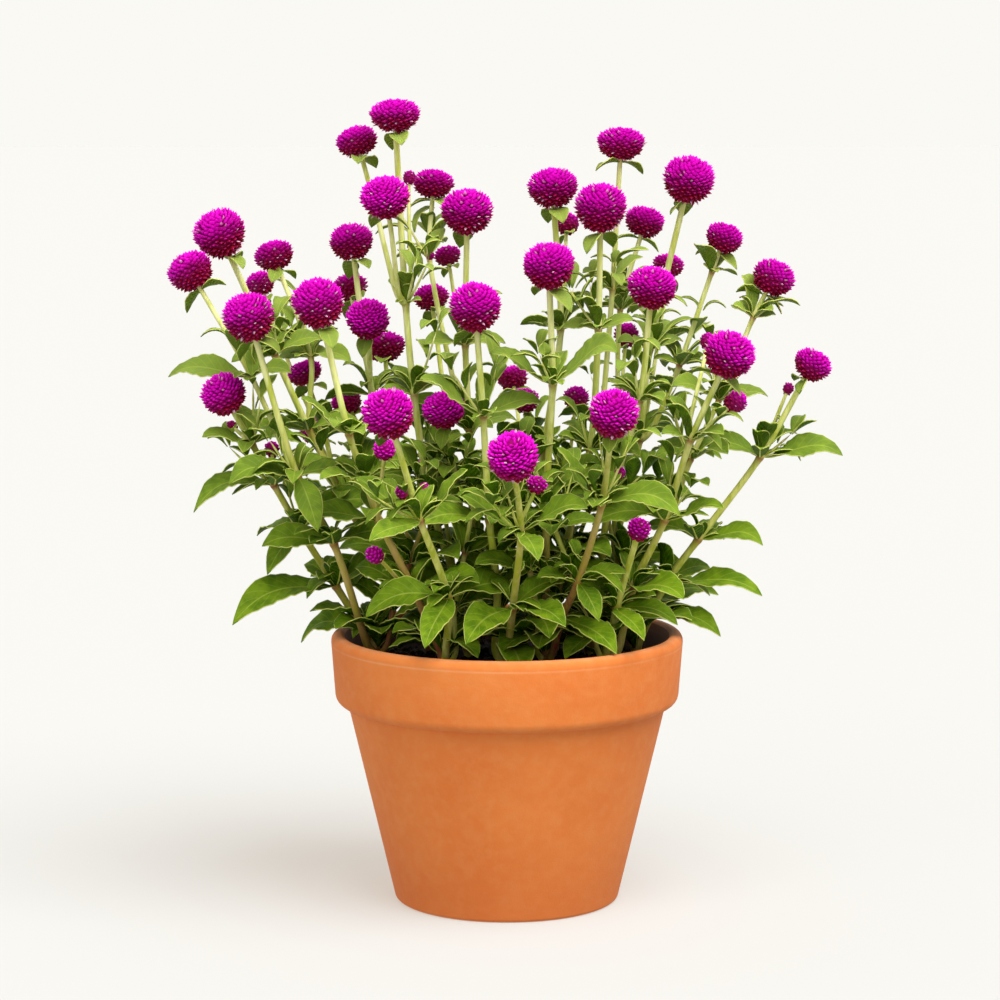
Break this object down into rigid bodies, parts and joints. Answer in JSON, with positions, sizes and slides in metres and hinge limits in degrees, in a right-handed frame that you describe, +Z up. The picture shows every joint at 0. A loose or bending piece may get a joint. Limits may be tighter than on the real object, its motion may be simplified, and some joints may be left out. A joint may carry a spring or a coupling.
{
  "type": "potted flowering plant",
  "caption": "Globe amaranth with magenta globe heads on leafy branched stems, standing in dark soil in a tapered terracotta pot with a rim band.",
  "frame": {"origin": "middle of the pot's foot, on the surface it stands on", "axes": "+Z up along the pot's axis, front of the plant towards -Y, +X to the viewer's right"},
  "size_m": [0.3402, 0.2435, 0.4073],
  "materials": {
    "terracotta": "matt unglazed terracotta",
    "soil": "dark crumbly potting soil",
    "green": "satin green leaves and finely haired stems",
    "magenta": "papery magenta scales"
  },
  "bodies": {
    "root": {"pot": "terracotta", "soil": "soil", "leafy_stem_left": "green", "leafy_stem_left_back": "green", "leafy_stem_left_front": "green", "leafy_stem_middle_left": "green", "leafy_stem_front": "green", "leafy_stem_middle": "green", "leafy_stem_middle_back": "green", "leafy_stem_right_back": "green", "leafy_stem_right_front": "green", "leafy_stem_right": "green", "globe_head_01": "magenta", "globe_head_02": "magenta", "globe_head_03": "magenta", "globe_head_04": "magenta", "globe_head_05": "magenta", "globe_head_06": "magenta", "globe_head_07": "magenta", "globe_head_08": "magenta", "globe_head_09": "magenta", "globe_head_10": "magenta", "globe_head_11": "magenta", "globe_head_12": "magenta", "globe_head_13": "magenta", "globe_head_14": "magenta", "globe_head_15": "magenta", "globe_head_16": "magenta", "globe_head_17": "magenta", "globe_head_18": "magenta", "globe_head_19": "magenta", "globe_head_20": "magenta", "globe_head_21": "magenta", "globe_head_22": "magenta", "globe_head_23": "magenta", "globe_head_24": "magenta", "globe_head_25": "magenta", "globe_head_26": "magenta", "globe_head_27": "magenta", "globe_head_28": "magenta", "globe_head_29": "magenta", "globe_head_30": "magenta", "globe_head_31": "magenta", "globe_head_32": "magenta", "globe_head_33": "magenta", "globe_head_34": "magenta", "globe_head_35": "magenta", "globe_head_36": "magenta", "globe_head_37": "magenta", "globe_head_38": "magenta", "globe_head_39": "magenta", "globe_head_40": "magenta", "globe_head_41": "magenta", "globe_head_42": "magenta", "globe_head_43": "magenta", "globe_head_44": "magenta", "globe_head_45": "magenta", "globe_head_46": "magenta", "globe_head_47": "magenta", "globe_head_48": "magenta"}
  },
  "joints": []
}
